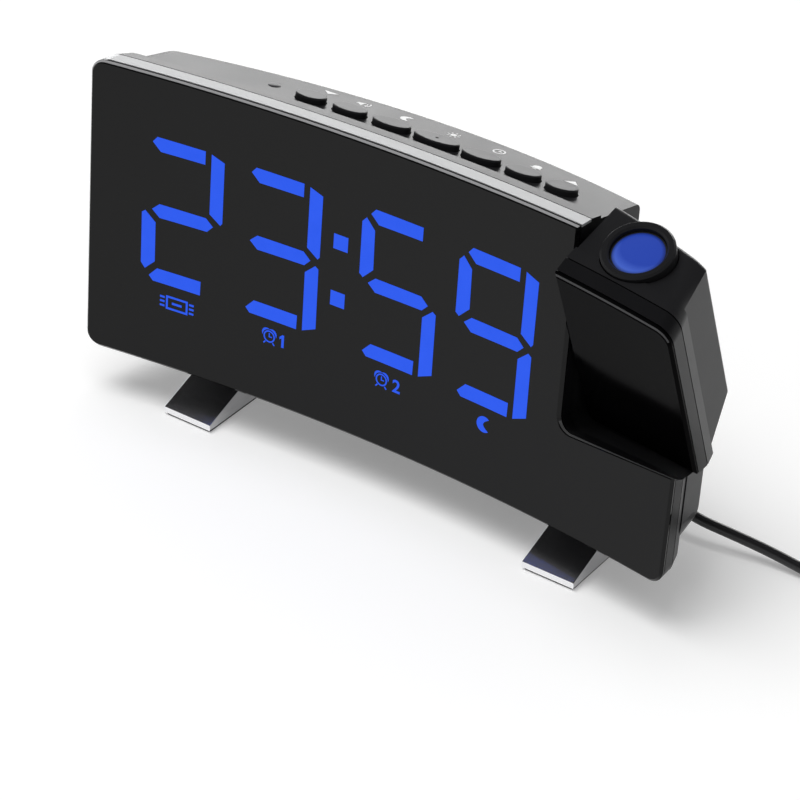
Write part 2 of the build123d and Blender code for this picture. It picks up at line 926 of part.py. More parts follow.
jack_front = supply_face - casing_wall
jack_depth = (main_board_back, jack_front)
jack_floor = body.facing(supply_face - barrel_length)
with BuildPart() as supply_socket:
    add(slab(body, around(supply_u, supply_body[0]), around(socket_row, supply_body[1]), jack_depth))
    add(rods(body.facing(jack_front), supply_spot, nose_radius - thread_gap, -(casing_wall - knob_gap)))
    add(rods(jack_floor, supply_spot, supply_bore, -far), mode=Mode.SUBTRACT)
    add(rods(jack_floor, supply_spot, supply_pin, -(barrel_length - casing_wall)))
save(supply_socket.part, "supply_socket")

dimmer_front = main_board_back + dimmer_body[2]
dimmer_switch = slab(
    body,
    around(dimmer_u, dimmer_body[0]),
    around(socket_row, dimmer_body[1]),
    (main_board_back, dimmer_front),
)
save(dimmer_switch, "dimmer_switch")

knob_end = rear_depth(dimmer_u) + knob_proud
dimmer_slider = slab(
    body,
    around(dimmer_u, dimmer_knob[0]),
    around(socket_row, dimmer_knob[1]),
    (dimmer_front + tab_gap, knob_end),
)
save(dimmer_slider, "dimmer_slider")

# ---- speaker ----

basket_back = speaker_face - basket_depth
cone_radius = speaker_radius - 2 * seat_ledge
with BuildPart() as speaker_basket:
    add(rods(body.facing(speaker_face), speaker_spot, speaker_radius, flange_thickness))
    with BuildSketch(body.facing(speaker_face - flange_thickness)):
        with Locations(*speaker_spot):
            Circle(speaker_radius - seat_ledge)
    with BuildSketch(body.facing(basket_back)):
        with Locations(*speaker_spot):
            Circle(magnet_radius)
    loft()
    add(rods(body.facing(speaker_face), speaker_spot, cone_radius, flange_thickness), mode=Mode.SUBTRACT)
    with BuildSketch(body.facing(speaker_face - flange_thickness)):
        with Locations(*speaker_spot):
            Circle(cone_radius)
    with BuildSketch(body.facing(basket_back + flange_thickness)):
        with Locations(*speaker_spot):
            Circle(magnet_radius - seat_ledge)
    loft(mode=Mode.SUBTRACT)
save(speaker_basket.part, "speaker_basket")

cone_plane = body.facing(speaker_face - flange_thickness / 2)
speaker_cone = rods(cone_plane, speaker_spot, cone_radius, cone_thickness)
save(speaker_cone, "speaker_cone")

speaker_magnet = rods(body.facing(basket_back), speaker_spot, magnet_radius, magnet_depth)
save(speaker_magnet, "speaker_magnet")

# ---- battery compartment ----

cell_u = sum(tray_room_u) / 2
cell_back = tray_floor + contact_thickness
battery_contacts = slab(
    body, around(cell_u, cell_radius), around(cell_w, cell_radius), (tray_floor, cell_back)
)
save(battery_contacts, "battery_contacts")

coin_cell = rods(body.facing(cell_back), [(cell_u, cell_w)], cell_radius, -cell_thickness)
save(coin_cell, "coin_cell")

door_span = (door_u[0] + door_gap, door_u[1] - door_gap)
with BuildPart() as battery_door:
    add(body_back())
    add(
        rear_skin(casing_wall - tab_gap, door_span, door_top - door_gap, door_flare - door_gap / 2),
        mode=Mode.INTERSECT,
    )
    rib_side = door_span[1] - door_span[0] - 4 * casing_wall
    for row in range(grip_grooves):
        groove_w = door_top - grip_start - row * grip_pitch
        add(
            slab(
                body,
                around(cell_u, rib_side),
                around(groove_w, grip_pitch / 2),
                (rear_depth(rib_side / 2 - cell_u) - door_rib, far),
            ),
            mode=Mode.SUBTRACT,
        )
save(battery_door.part, "battery_door")
print("inside of the clock ready")

# ---- feet ----

for side, name in ((-1, "left_foot"), (1, "right_foot")):
    with BuildPart() as foot:
        with BuildSketch(Plane.YZ.offset(side * foot_u - foot_width / 2)):
            Polygon(
                (foot_front, pad_thickness),
                (foot_seat_back + foot_toe, pad_thickness),
                (foot_seat_back, foot_seat),
                (foot_seat_front, foot_seat),
                (foot_front, foot_lip),
                align=None,
            )
        extrude(amount=foot_width)
        side_edges = foot.edges().filter_by(Axis.Z, reverse=True).filter_by(Axis.X, reverse=True)
        fillet(side_edges, radius=foot_edge)
        with BuildSketch(Plane.XY):
            with Locations(foot_points[side > 0]):
                Circle(screw_radius + clearance_gap)
        extrude(amount=foot_seat + 1, mode=Mode.SUBTRACT)
        with BuildSketch(Plane.XY):
            with Locations(foot_points[side > 0]):
                Circle(screw_head + clearance_gap)
        extrude(amount=foot_screw_seat, mode=Mode.SUBTRACT)
    save(foot.part, name)

with BuildPart() as foot_pads:
    with BuildSketch():
        with Locations(*[(u, (foot_front + foot_seat_back + foot_toe) / 2) for u, y in foot_points]):
            RectangleRounded(
                foot_width - 2 * pad_inset,
                foot_seat_back + foot_toe - foot_front - 2 * pad_inset,
                seat_inset,
            )
        with Locations(*foot_points):
            Circle(screw_head + clearance_gap, mode=Mode.SUBTRACT)
    extrude(amount=pad_thickness)
save(foot_pads.part, "foot_pads")

foot_screws = screws(
    Plane.XY.offset(foot_screw_seat),
    foot_points,
    screw_radius,
    screw_head,
    screw_head_height,
    -(foot_seat - foot_screw_seat + thread_depth - 0.5),
)
save(foot_screws, "foot_screws")

# ---- pivot ----

with BuildPart() as pivot_bushing:
    add(
        rods(
            body.side(notch_left - casing_wall - bushing_inside),
            pivot_spot,
            bushing_radius,
            casing_wall + bushing_inside,
        )
    )
    add(rods(body.side(notch_left), pivot_spot, bushing_flange_radius, bushing_flange))
    add(
        rods(body.side(notch_left - far / 2), pivot_spot, shaft_radius + running_gap, far),
        mode=Mode.SUBTRACT,
    )
save(pivot_bushing.part, "pivot_bushing")

clip_end = notch_left - casing_wall - bushing_inside - thread_gap
shaft_start = clip_end - clip_thickness - running_gap
head_wall = head_left + casing_wall
with BuildPart() as pivot_shaft:
    add(rods(head.side(shaft_start), pivot_spot, shaft_radius, head_wall - shaft_start))
    add(rods(head.side(head_wall), pivot_spot, shaft_flange_radius, shaft_flange))
    add(rods(head.side(shaft_start - 1), pivot_spot, shaft_bore, far), mode=Mode.SUBTRACT)
save(pivot_shaft.part, "pivot_shaft")

with BuildPart() as pivot_clip:
    add(rods(head.side(clip_end), pivot_spot, clip_radius, -clip_thickness))
    add(rods(head.side(clip_end + 1), pivot_spot, shaft_radius, -clip_thickness - 2), mode=Mode.SUBTRACT)
save(pivot_clip.part, "pivot_clip")

# ---- projector housing ----

with BuildPart() as projector_plate:
    add(layer(head, 0, panel_thickness))
    add(head_space, mode=Mode.INTERSECT)
    plate_face = projector_plate.faces().sort_by(SortBy.AREA)[-2:].sort_by(Axis.Y)[0]
    chamfer(plate_face.edges(), length=edge_chamfer)
save(projector_plate.part, "projector_plate")

with BuildPart() as projector_inside:
    add(layer(head, web_back, rim_front + 1, frame_wall))
    add(
        trough(
            head, head_left + frame_wall, head_radius - frame_wall, notch_corner - scoop_gap - frame_wall
        ),
        mode=Mode.INTERSECT,
    )

with BuildPart() as projector_posts:
    add(rods(head.facing(boss_plane), projector_points, post_radius + 0.4, far))
    add(layer(head, web_middle, 2 * rim_back, groove_sink, corner=0), mode=Mode.INTERSECT)

with BuildPart() as projector_frame:
    add(layer(head, frame_front, frame_back))
    add(layer(head, panel_thickness, rim_front, groove_sink))
    add(projector_inside.part, mode=Mode.SUBTRACT)
    add(projector_posts.part)
    add(
        rods(head.facing(boss_plane), projector_points, screw_radius + thread_gap, thread_depth),
        mode=Mode.SUBTRACT,
    )
    add(head_space, mode=Mode.INTERSECT)
save(projector_frame.part, "projector_frame")

with BuildPart() as projector_room:
    add(head_block(casing_wall))
    add(head_room, mode=Mode.INTERSECT)

optics_spot = [(optics_u, optics_d)]
well_bottom = ring_seat - ring_gap - well_floor
carrier_radius = ring_bore - carrier_gap
with BuildPart() as projector_bosses:
    add(rods(head.facing(boss_plane), projector_points, boss_radius, -far))
    add(rods(head.plan(well_bottom), optics_spot, ring_radius + ring_gap + well_wall, far))
    add(head_block(), mode=Mode.INTERSECT)

with BuildPart() as projector_shell:
    add(head_block())
    add(projector_room.part, mode=Mode.SUBTRACT)
    add(projector_bosses.part)
    add(rods(head.plan(ring_seat - ring_gap), optics_spot, ring_radius + ring_gap, far), mode=Mode.SUBTRACT)
    add(rods(head.plan(well_bottom - 1), optics_spot, ring_bore, far), mode=Mode.SUBTRACT)
    add(
        rods(head.facing(boss_plane), projector_points, screw_radius + clearance_gap, -far),
        mode=Mode.SUBTRACT,
    )
    add(
        rods(head.facing(boss_plane + boss_floor), projector_points, screw_head + clearance_gap, -far),
        mode=Mode.SUBTRACT,
    )
    add(rods(head.side(head_left - 1), pivot_spot, shaft_radius, casing_wall + 2), mode=Mode.SUBTRACT)
    add(head_space, mode=Mode.INTERSECT)
save(projector_shell.part, "projector_shell")

projector_screws = screws(
    head.facing(boss_plane + boss_floor),
    projector_points,
    screw_radius,
    screw_head,
    screw_head_height,
    -(boss_floor + thread_depth - 0.5),
)
save(projector_screws, "projector_screws")

with BuildPart() as focus_ring:
    add(rods(head.plan(ring_seat), optics_spot, ring_radius, ring_top - ring_seat))
    add(rods(head.plan(ring_seat - 1), optics_spot, ring_bore, far), mode=Mode.SUBTRACT)
    rims = focus_ring.edges().sort_by(Axis(head.point(0, 0, 0), head.up))[-2:]
    chamfer(rims, length=ring_chamfer)
save(focus_ring.part, "focus_ring")

lens_seat = carrier_top - lens_thickness + lens_crown
lens_radius = carrier_radius - carrier_wall / 2
with BuildPart() as lens_carrier:
    add(rods(head.plan(carrier_bottom), optics_spot, carrier_radius, carrier_top - carrier_bottom))
    add(
        rods(head.plan(carrier_bottom - 1), optics_spot, carrier_radius - 2 * carrier_wall, far),
        mode=Mode.SUBTRACT,
    )
    add(rods(head.plan(lens_seat), optics_spot, lens_radius, far), mode=Mode.SUBTRACT)
save(lens_carrier.part, "lens_carrier")

dome_radius = (lens_radius**2 + lens_crown**2) / (2 * lens_crown)
lens_edge = lens_thickness - lens_crown
lens_axis = Plane(head.point(optics_u, lens_seat, optics_d), x_dir=head.across, z_dir=-head.back)
with BuildPart() as projection_lens:
    with BuildSketch(lens_axis):
        with BuildLine():
            Polyline((0, lens_thickness), (0, 0), (lens_radius, 0), (lens_radius, lens_edge))
            RadiusArc((lens_radius, lens_edge), (0, lens_thickness), -dome_radius)
        make_face()
    revolve(axis=Axis(lens_axis.origin, head.up))
save(projection_lens.part, "projection_lens")

tube_room = tube_radius - tube_wall
with BuildPart() as optics_tube:
    add(rods(head.plan(well_bottom), optics_spot, tube_flange, -tube_flange_thickness))
    add(projector_room.part, mode=Mode.INTERSECT)
    add(rods(head.plan(tube_bottom), optics_spot, tube_radius, well_bottom - tube_bottom))
    add(rods(head.plan(tube_bottom - 1), optics_spot, tube_room, far + far), mode=Mode.SUBTRACT)
save(optics_tube.part, "optics_tube")

condenser_bottom = tube_bottom + condenser_rise
condenser_lens = rods(head.plan(condenser_bottom), optics_spot, tube_room, condenser_thickness)
save(condenser_lens, "condenser_lens")

slide_bottom = condenser_bottom + condenser_thickness + slide_rise
image_slide = rods(head.plan(slide_bottom), optics_spot, tube_room, slide_thickness)
save(image_slide, "image_slide")

lamp_board = rods(head.plan(tube_bottom), optics_spot, tube_radius, -lamp_board_thickness)
save(lamp_board, "lamp_board")

projector_lamp = slab(
    head,
    around(optics_u, lamp_size),
    (tube_bottom, tube_bottom + lamp_height),
    around(optics_d, lamp_size),
)
save(projector_lamp, "projector_lamp")
print("projector ready")

# ---- cord and what is on it ----

with BuildPart() as plug_barrel:
    add(rods(jack_floor, supply_spot, barrel_radius, -barrel_length))
    add(rods(jack_floor, supply_spot, barrel_bore, plug_floor - barrel_length), mode=Mode.SUBTRACT)
save(plug_barrel.part, "plug_barrel")

arm_start = body.point(supply_u, socket_row, supply_face + plug_length / 2)
arm_angle = radians(plug_arm_angle)
arm_along = Vector(cos(arm_angle), 0, -sin(arm_angle))
arm_plane = Plane(arm_start, x_dir=(0, 1, 0), z_dir=arm_along)
with BuildPart() as supply_plug:
    add(rods(body.facing(supply_face), supply_spot, plug_radius, -plug_length))
    fillet(supply_plug.edges().sort_by(Axis(body.point(0, 0, 0), body.back))[-1], radius=plug_edge)
    with BuildSketch(arm_plane):
        Circle(plug_arm)
    extrude(amount=plug_arm_length, taper=plug_arm_taper)
save(supply_plug.part, "supply_plug")

coil_inner = coil_radius - coil_turns_across * cord_radius
coil_outer = coil_radius + coil_turns_across * cord_radius
coil_height = 2 * coil_turns_high * cord_radius
coil_axis = Axis((*coil_centre, 0), (0, 0, 1))
tie_out = Vector(cos(radians(tie_place)), sin(radians(tie_place)), 0)
coil_section = Plane((*coil_centre, 0), x_dir=tie_out, z_dir=tie_out.cross(Vector(0, 0, 1)))
tie_arc = tie_width / coil_radius / radians(1)


def ring_section(low, high, bottom, top):
    with BuildSketch(coil_section) as section:
        Polygon((low, bottom), (high, bottom), (high, top), (low, top), align=None)
    return section.sketch


tie_inner = coil_inner - tie_thickness
tie_outer = coil_outer + tie_thickness
with BuildPart() as cord_tie:
    revolve(
        ring_section(tie_inner, tie_outer, 0, coil_height + tie_thickness),
        axis=coil_axis,
        revolution_arc=tie_arc,
    )
    revolve(
        ring_section(coil_inner, coil_outer, tie_thickness, coil_height),
        axis=coil_axis,
        revolution_arc=tie_arc,
        mode=Mode.SUBTRACT,
    )
save(cord_tie.part, "cord_tie")

with BuildPart() as cord_coil:
    revolve(ring_section(coil_inner, coil_outer, 0, coil_height), axis=coil_axis)
    fillet(cord_coil.edges().filter_by(GeomType.CIRCLE), radius=cord_radius / 2)
    add(cord_tie.part, mode=Mode.SUBTRACT)
save(cord_coil.part, "cord_coil")



def bend_radius(before, corner, after):
    start = Vector(*corner) - Vector(*before)
    end = Vector(*after) - Vector(*corner)
    half_turn = radians(start.get_angle(end)) / 2
    return 0.45 * min(start.length, end.length) / tan(half_turn)


def run_of_cord(route):
    radii = [bend_radius(*route[i - 1 : i + 2]) for i in range(1, len(route) - 1)]
    print("cord bends", [round(radius, 1) for radius in radii])
    with BuildPart() as tube:
        with BuildLine() as cord_line:
            FilletPolyline(*route, radius=radii)
        with BuildSketch(Plane(cord_line.line @ 0, z_dir=cord_line.line % 0)):
            Circle(cord_radius)
        sweep()
        length = cord_line.wire().length
        fill = tube.part.volume / (length * pi * cord_radius**2)
        print("cord length", round(length, 1), "volume against section times length", round(fill, 4))
    return tube.part


far_plane = Plane(
    (coil_centre[0] + tie_outer + far_gap + far_plug[1] / 2, far_start, 0), x_dir=(0, 1, 0), z_dir=(0, 0, 1)
)
with BuildPart() as far_plug_body:
    with BuildSketch(far_plane):
        with Locations((far_plug[0] / 2, 0)):
            RectangleRounded(far_plug[0], far_plug[1], 3 * shell_wall)
    extrude(amount=far_plug[2])
save(far_plug_body.part, "far_plug")

arm_end = arm_start + arm_along * plug_arm_length
far_end = far_plane.origin + Vector(0, 0, far_plug[2] / 2)
with BuildPart() as cord_tube:
    add(run_of_cord([tuple(arm_end), tuple(arm_end + arm_along * cord_straight)] + cord_route))
    add(run_of_cord(tail_route + [tuple(far_end)]))
    add(cord_coil.part, mode=Mode.SUBTRACT)
save(cord_tube.part, "cord_tube")

with BuildPart() as far_plug_shell:
    with BuildSketch(far_plane.offset((far_plug[2] - far_shell[2]) / 2)):
        with Locations((far_plug[0] + far_shell[0] / 2, 0)):
            Rectangle(far_shell[0], far_shell[1])
    extrude(amount=far_shell[2])
    opening = far_plug_shell.faces().sort_by(Axis(far_plane.origin, far_plane.x_dir))[-1]
    with BuildSketch(Plane(opening)):
        Rectangle(far_shell[1] - 2 * shell_wall, far_shell[2] - 2 * shell_wall)
    extrude(amount=-(far_shell[0] - shell_wall), mode=Mode.SUBTRACT)
save(far_plug_shell.part, "far_plug_shell")
print("all pieces written")
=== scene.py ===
import json
import math

import bpy
from mathutils import Matrix, Vector


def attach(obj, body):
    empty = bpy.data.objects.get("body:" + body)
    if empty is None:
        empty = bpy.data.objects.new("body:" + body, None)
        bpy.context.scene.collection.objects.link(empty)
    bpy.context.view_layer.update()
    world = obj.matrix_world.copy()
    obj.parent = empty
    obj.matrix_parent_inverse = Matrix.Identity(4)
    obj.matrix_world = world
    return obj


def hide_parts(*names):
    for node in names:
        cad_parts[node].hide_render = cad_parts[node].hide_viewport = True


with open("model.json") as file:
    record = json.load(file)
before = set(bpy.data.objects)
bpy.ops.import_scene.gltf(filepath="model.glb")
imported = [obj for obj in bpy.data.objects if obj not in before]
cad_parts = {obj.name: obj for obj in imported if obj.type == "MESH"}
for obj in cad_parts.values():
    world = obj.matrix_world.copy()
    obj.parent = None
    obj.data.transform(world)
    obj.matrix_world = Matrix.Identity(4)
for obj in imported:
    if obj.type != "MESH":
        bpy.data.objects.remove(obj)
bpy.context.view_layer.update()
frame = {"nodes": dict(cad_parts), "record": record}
nodes = frame["nodes"]
print("frame loaded")

# places on the clock: u to the right, w up the front, d backwards, in metres
housing = {
    "lean": math.radians(5), "baseY": -0.0164, "baseZ": 0.0166, "faceRadius": 0.615,
    "pivotW": 0.0635, "pivotD": 0.0095, "tilt": math.radians(25.3),
    "backTop": 0.0986, "backDraft": math.radians(8.9),
}


def onClock(u, w, d):
    lean = housing["lean"]
    return Vector((
        u,
        housing["baseY"] + w * math.sin(lean) + d * math.cos(lean),
        housing["baseZ"] + w * math.cos(lean) - d * math.sin(lean),
    ))


pivotPoint = onClock(0, housing["pivotW"], housing["pivotD"])
headTilt = Matrix.Rotation(housing["tilt"], 4, "X")
headTurn = Matrix.Translation(pivotPoint) @ headTilt @ Matrix.Translation(-pivotPoint)


def onHead(u, w, d):
    return headTurn @ onClock(u, w, d)


# s runs along the hollow front from its middle, depth backwards from it
def onFace(s, w, depth):
    radius = housing["faceRadius"]
    turn = s / radius
    return onClock((radius + depth) * math.sin(turn), w, (radius + depth) * math.cos(turn) - radius)


# the sloping top behind the rim, a distance back from the front's curve
def onBackTop(u, back, height):
    radius = housing["faceRadius"]
    d = math.sqrt((radius + back) ** 2 - u ** 2) - radius
    slope = housing["backDraft"]
    spot = onClock(u, housing["backTop"] - math.tan(slope) * d, d)
    normal = onClock(0, math.cos(slope), math.sin(slope)) - onClock(0, 0, 0)
    return spot + height * normal


# camera
cameraPlace = {
    "spot": (0.47061, -0.67223, 0.57795),
    "right": (0.8121, 0.5834, 0.0140),
    "up": (-0.3358, 0.4477, 0.8287),
    "forward": (-0.4772, 0.6777, -0.5595),
    "lens": 144.0,
    "sensor": 36,
    "nearest": 0.05,
}
bpy.ops.object.camera_add()
camera = bpy.context.object
camera.name = "camera"
camera.data.lens = cameraPlace["lens"]
camera.data.sensor_width = cameraPlace["sensor"]
camera.data.clip_start = cameraPlace["nearest"]
columns = (cameraPlace["right"], cameraPlace["up"], tuple(-v for v in cameraPlace["forward"]))
camera.matrix_world = Matrix.Translation(cameraPlace["spot"]) @ Matrix(columns).transposed().to_4x4()
bpy.context.scene.camera = camera
print("camera placed")

# supply cord
cordSizes = {
    "radius": 0.0017,
    "run": [
        (65.2198, 22.7503, 17.1909), (76.0955, 22.7503, 12.1195), (91.4, 20.2, 7.9), (104.7, 21.8, 6.2),
        (117.0, 23.6, 4.1), (130.0, 23.8, 2.3), (143.0, 23.2, 1.7),
    ],
    "coilCentre": (156.0, 45.4),
    "coilRadius": 22.4,
    "pitch": 3.4,
    "coilBottom": 1.75,
    "pointsPerTurn": 18,
    "lastTurn": 0.9,
    "roundness": 5,
    "stepsPerPoint": 6,
    "order": 3,
    "tail": [
        (153.5, 21.0, 8.3), (162.0, 16.1, 5.6), (170.2, 11.3, 2.4), (181.7, 13.3, 1.9), (189.2, 22.3, 2.9),
        (189.2, 31.0, 3.8),
    ],
}
# the turns fill the coil from its outer bottom edge; each step to the next place
# has its own part of the turn, so that no two turns pass through each other
coilPlaces = [(0, 0), (1, 0), (2, 0), (2, 1), (2, 2), (1, 2), (1, 1), (0, 1), (0, 2)]
coilSteps = [
    (0.84, 0.16), (0.84, 0.16), (0.70, 0.14), (0.56, 0.14),
    (0.42, 0.14), (0.30, 0.12), (0.20, 0.10), (0.08, 0.12),
]


def coilPoints():
    centre = cordSizes["coilCentre"]
    count = cordSizes["pointsPerTurn"]
    swell = 2 / (1 + math.cos(math.pi / count))
    points = []
    for turn, place in enumerate(coilPlaces[:-1]):
        last = turn == len(coilPlaces) - 2
        following = coilPlaces[turn + 1]
        start, length = coilSteps[turn]
        for step in range(int(count * cordSizes["lastTurn"]) if last else count):
            share = step / count
            moved = min(1, max(0, (share - start) / length))
            column = place[0] + moved * (following[0] - place[0])
            row = place[1] + moved * (following[1] - place[1])
            radius = swell * (cordSizes["coilRadius"] - cordSizes["pitch"] * column)
            height = cordSizes["coilBottom"] + cordSizes["pitch"] * row
            angle = 2 * math.pi * share - math.pi / 2
            across = centre[0] + radius * math.cos(angle)
            along = centre[1] + radius * math.sin(angle)
            points.append((across, along, height))
    return points


cordPoints = cordSizes["run"] + coilPoints() + cordSizes["tail"]
cordCurve = bpy.data.curves.new("supplyCord", "CURVE")
cordCurve.dimensions = "3D"
cordCurve.bevel_depth = cordSizes["radius"]
cordCurve.bevel_resolution = cordSizes["roundness"]
cordCurve.resolution_u = cordSizes["stepsPerPoint"]
cordCurve.use_fill_caps = True
spline = cordCurve.splines.new("NURBS")
spline.points.add(len(cordPoints) - 1)
for point, place in zip(spline.points, cordPoints):
    point.co = (*[v / 1000 for v in place], 1)
spline.order_u = cordSizes["order"]
spline.use_endpoint_u = True
supplyCord = bpy.data.objects.new("supplyCord", cordCurve)
bpy.context.scene.collection.objects.link(supplyCord)
print("cord laid")


# shader values that can be added and multiplied like numbers
class Signal:
    def __init__(self, finish, socket):
        self.finish = finish
        self.socket = socket

    def maths(self, operation, first, second):
        return self.finish.add("ShaderNodeMath", {"operation": operation}, {0: first, 1: second})

    def __add__(self, other):
        return self.maths("ADD", self, other)

    def __radd__(self, other):
        return self.maths("ADD", other, self)

    def __sub__(self, other):
        return self.maths("SUBTRACT", self, other)

    def __rsub__(self, other):
        return self.maths("SUBTRACT", other, self)

    def __mul__(self, other):
        return self.maths("MULTIPLY", self, other)

    def __rmul__(self, other):
        return self.maths("MULTIPLY", other, self)

    def __gt__(self, other):
        return self.maths("GREATER_THAN", self, other)

    def __lt__(self, other):
        return self.maths("LESS_THAN", self, other)

    def root(self):
        return self.maths("SQRT", self, 0.0)


class Finish:
    def __init__(self, name, holder=None):
        self.material = holder or bpy.data.materials.new(name)
        self.material.use_nodes = True
        self.tree = self.material.node_tree
        self.tree.nodes.clear()

    def add(self, kind, settings=None, values=None, result=0):
        node = self.tree.nodes.new(kind)
        for key, value in (settings or {}).items():
            setattr(node, key, value)
        for key, value in (values or {}).items():
            if isinstance(value, Signal):
                self.tree.links.new(value.socket, node.inputs[key])
            else:
                node.inputs[key].default_value = value
        return Signal(self, node.outputs[result]) if len(node.outputs) else None

    def where(self, scale=(1, 1, 1)):
        spot = self.add("ShaderNodeTexCoord", result="Object")
        return self.add("ShaderNodeMapping", {}, {"Vector": spot, "Scale": scale})

    def noise(self, place, scale, detail=3.0):
        return self.add("ShaderNodeTexNoise", {}, {"Vector": place, "Scale": scale, "Detail": detail})

    def separate(self, vector, axis):
        return self.add("ShaderNodeSeparateXYZ", {}, {0: vector}, result=axis)

    def dot(self, vector, direction):
        settings = {"operation": "DOT_PRODUCT"}
        return self.add("ShaderNodeVectorMath", settings, {0: vector, 1: tuple(direction)}, result="Value")

    def distance(self, spot, centre):
        settings = {"operation": "DISTANCE"}
        return self.add("ShaderNodeVectorMath", settings, {0: spot, 1: tuple(centre)}, result="Value")

    def share(self, value, low, high):
        return self.add("ShaderNodeMapRange", {}, {0: value, 1: low, 2: high})

    def mix(self, share, first, second):
        return self.add("ShaderNodeMix", {"data_type": "RGBA"}, {0: share, 6: first, 7: second}, result=2)

    def blend(self, share, first, second):
        return self.mix(share, (*first, 1), (*second, 1))

    def bump(self, height, distance, strength=1.0):
        return self.add("ShaderNodeBump", {}, {"Height": height, "Distance": distance, "Strength": strength})

    def paint(self, values):
        shader = self.add("ShaderNodeBsdfPrincipled", {}, values)
        self.add("ShaderNodeOutputMaterial", {}, {"Surface": shader})
        return self.material


def moulded(name, dark, light, roughness, grain, depth, specular=0.5, sheen=0.08):
    finish = Finish(name)
    place = finish.where()
    broad = finish.noise(place, 45.0)
    fine = finish.noise(place, grain)
    return finish.paint({
        "Base Color": finish.blend(broad, dark, light),
        "Roughness": roughness + (broad - 0.5) * sheen + (fine - 0.5) * sheen,
        "Specular IOR Level": specular,
        "Normal": finish.bump(fine, depth),
    })


def brushed(name, dark, light, roughness, stretch, grain, depth):
    finish = Finish(name)
    streaks = finish.noise(finish.where(stretch), grain, 4.0)
    clouds = finish.noise(finish.where(), 60.0)
    return finish.paint({
        "Base Color": finish.blend(streaks, dark, light),
        "Metallic": 1.0,
        "Roughness": roughness + streaks * 0.15 + (clouds - 0.5) * 0.1,
        "Normal": finish.bump(streaks, depth),
    })


# smoked acrylic with a painted highlight on its chamfer: the chamfer lies between two depths behind the
# curved
#  face; the painted highlight shows where the surface faces upward, and more faintly on the panel's lower
#  part
chamferHighlight = {"rise": 0.3, "upperFrom": 0.05, "lowerShare": 0.2, "addedRoughness": 0.25}


def glossPanel(name, shades, highlightBand, specular, haze, turn=None):
    finish = Finish(name)
    place = finish.where()
    cloud = finish.noise(place, 30.0, 5.0)
    ripple = finish.noise(place, 14.0, 1.0)
    turn = turn or Matrix.Identity(4)
    middle = turn @ onClock(0, 0, 0)
    backward = (turn @ onClock(0, 0, 1)) - middle
    upward = (turn @ onClock(0, 1, 0)) - middle
    spot = finish.add("ShaderNodeTexCoord", result="Object")
    offset = finish.add("ShaderNodeVectorMath", {"operation": "SUBTRACT"}, {0: spot, 1: tuple(middle)})
    across = finish.separate(offset, "X")
    reach = finish.dot(offset, backward) + housing["faceRadius"]
    depth = (across * across + reach * reach).root() - housing["faceRadius"]
    rise = finish.dot(finish.add("ShaderNodeTexCoord", result="Normal"), upward)
    upper = finish.dot(offset, upward) > chamferHighlight["upperFrom"]
    strength = chamferHighlight["lowerShare"] + upper * (1 - chamferHighlight["lowerShare"])
    within = (depth > highlightBand["from"]) * (depth < highlightBand["to"]) * (rise > chamferHighlight["rise"])
    highlightShare = within * strength
    # painted highlight: a lighter grey laid on the upward-facing chamfer, with roughness raised there too
    highlightColour = finish.blend(finish.noise(place, 3000.0), highlightBand["dark"], highlightBand["light"])
    return finish.paint({
        "Base Color": finish.mix(highlightShare, finish.blend(cloud, *shades), highlightColour),
        "Roughness": haze + cloud * 0.04 + highlightShare * chamferHighlight["addedRoughness"],
        "Specular IOR Level": specular,
        "Normal": finish.bump(ripple, 0.00002, 0.2),
    })


def silverStrip():
    finish = Finish("satinSilver")
    flakes = finish.noise(finish.where(), 5200.0, 2.0)
    streaks = finish.noise(finish.where((0.05, 1, 1)), 900.0)
    return finish.paint({
        "Base Color": finish.blend(flakes, (0.43, 0.435, 0.44), (0.53, 0.535, 0.54)),
        "Metallic": 0.3,
        "Roughness": 0.4 + streaks * 0.08,
        "Normal": finish.bump(flakes + streaks * 0.3, 0.000006),
    })


def plated():
    finish = Finish("brightPlate")
    normal = finish.add("ShaderNodeTexCoord", result="Normal")
    across = finish.separate(normal, "X")
    side = (across * across) > 0.5
    streaks = finish.noise(finish.where((1, 0.06, 1)), 2600.0, 4.0)
    clouds = finish.noise(finish.where(), 55.0)
    mirror = finish.blend(clouds, (0.88, 0.88, 0.9), (0.96, 0.96, 0.97))
    brushedSide = finish.blend(streaks, (0.42, 0.42, 0.43), (0.62, 0.62, 0.63))
    return finish.paint({
        "Base Color": finish.mix(side, mirror, brushedSide),
        "Metallic": 1.0,
        "Roughness": 0.16 + clouds * 0.14 + side * (0.22 + streaks * 0.15),
        "Normal": finish.bump(streaks * side, 0.00001),
    })


def litPlastic():
    finish = Finish("litSegment")
    glow = finish.noise(finish.where(), 160.0, 2.0)
    return finish.paint({
        "Base Color": (0.004, 0.01, 0.05, 1),
        "Roughness": 0.45 + glow * 0.1,
        "Specular IOR Level": 0.12,
        "Emission Color": finish.blend(glow, (0.014, 0.085, 0.78), (0.022, 0.1, 0.86)),
        "Emission Strength": 1.0,
    })


# a coated lens lit from behind: deep blue, with a paler crescent along its lower edge
lensLook = {
    "centre": onHead(0.0847, 0.098, 0.0135), "shadeCentre": onHead(0.0855, 0.098, 0.0165),
    "paleFrom": 0.0072, "paleTo": 0.0098, "rimFrom": 0.0066, "rimTo": 0.0080,
}


